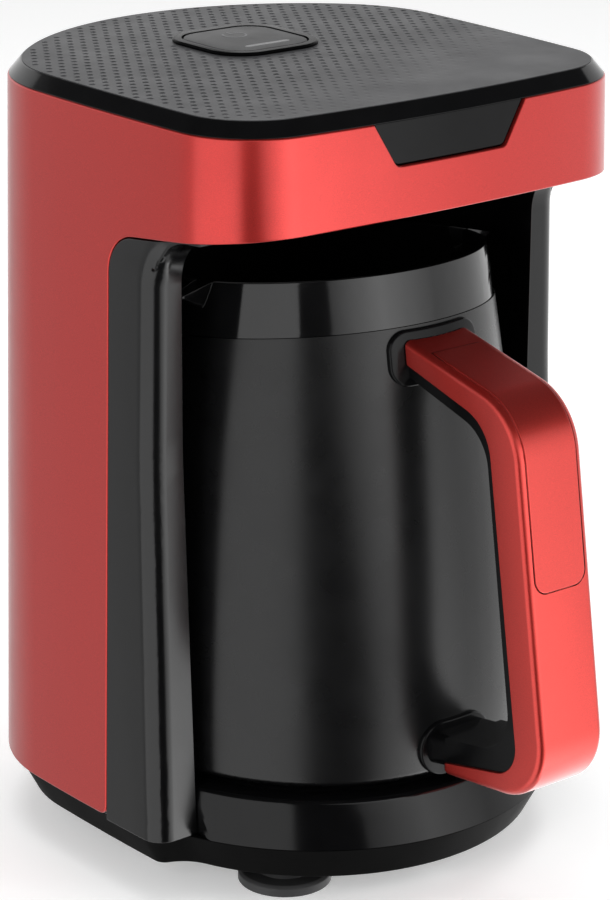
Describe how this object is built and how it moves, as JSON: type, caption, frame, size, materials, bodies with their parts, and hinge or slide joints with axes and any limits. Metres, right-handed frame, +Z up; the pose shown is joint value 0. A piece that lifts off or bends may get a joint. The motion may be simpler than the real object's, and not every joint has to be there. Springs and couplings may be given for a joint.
{
  "type": "electric turkish coffee maker",
  "caption": "Electric Turkish coffee maker: wrapped body with an open round heated bay, push button on the lid and a conical lift-out pot with a bow handle.",
  "frame": {"origin": "on the floor, under the centre of the overall box", "axes": "+Z up; -Y is the front, where the pot and its handle point; X across the body"},
  "size_m": [0.1512, 0.1996, 0.221],
  "materials": {
    "shell_red": "satin metallic red",
    "handle_red": "satin red lacquer",
    "inlay_red": "soft matt red",
    "black_gloss": "gloss black",
    "black_satin": "satin black",
    "black_matt": "matt black",
    "pot_coating": "satin black coating on steel",
    "bright_ring": "satin bright",
    "lens_white": "clear white",
    "steel": "plain",
    "plate_metal": "satin",
    "rubber": "matt",
    "seal": "matt silicone",
    "board": "solder mask",
    "component": "moulded",
    "wire": "sleeved",
    "ivory": "nylon"
  },
  "bodies": {
    "machine": {"outer_shell": "shell_red", "front_panel": "black_satin", "lid": "black_satin", "button_bezel": "bright_ring", "button_spring": "steel", "button_guide": "component", "control_board": "board", "tact_switch": "component", "buzzer": "component", "board_connector": "ivory", "overflow_sensor": "black_gloss", "sensor_holder": "component", "lid_screws": "steel", "bay_housing": "black_gloss", "head_floor": "black_satin", "base_housing": "black_gloss", "bottom_cover": "black_matt", "base_screws": "steel", "hot_plate": "plate_metal", "plate_seal": "seal", "heating_element": "steel", "thermostat": "ivory", "thermal_fuse": "steel", "heat_shield": "steel", "plate_studs": "steel", "power_board": "board", "power_parts": "component", "wiring_loom": "wire", "cord_gland": "black_matt", "gland_nut": "black_matt", "foot_front_left": "rubber", "foot_front_right": "rubber", "foot_rear_left": "rubber", "foot_rear_right": "rubber"},
    "button": {"start_button": "black_gloss", "indicator_lens": "lens_white", "button_clip": "steel"},
    "pot": {"pot_vessel": "pot_coating", "pot_sleeve": "pot_coating", "pot_base_plate": "plate_metal", "upper_mount": "black_gloss", "lower_mount": "black_gloss", "handle_core": "black_gloss", "handle_cover": "handle_red", "grip_inlay": "inlay_red", "handle_screws": "steel"}
  },
  "joints": [
    {"name": "button_press", "type": "slide", "parent": "machine", "child": "button", "axis": [0, 0, -1], "range_m": [0, 0.0015], "stiffness_N_per_m": 400, "deforming": ["button_spring"]},
    {"name": "pot_pull", "type": "slide", "parent": "machine", "child": "pot", "axis": [0, -1, 0], "range_m": [0, 0.15]}
  ]
}
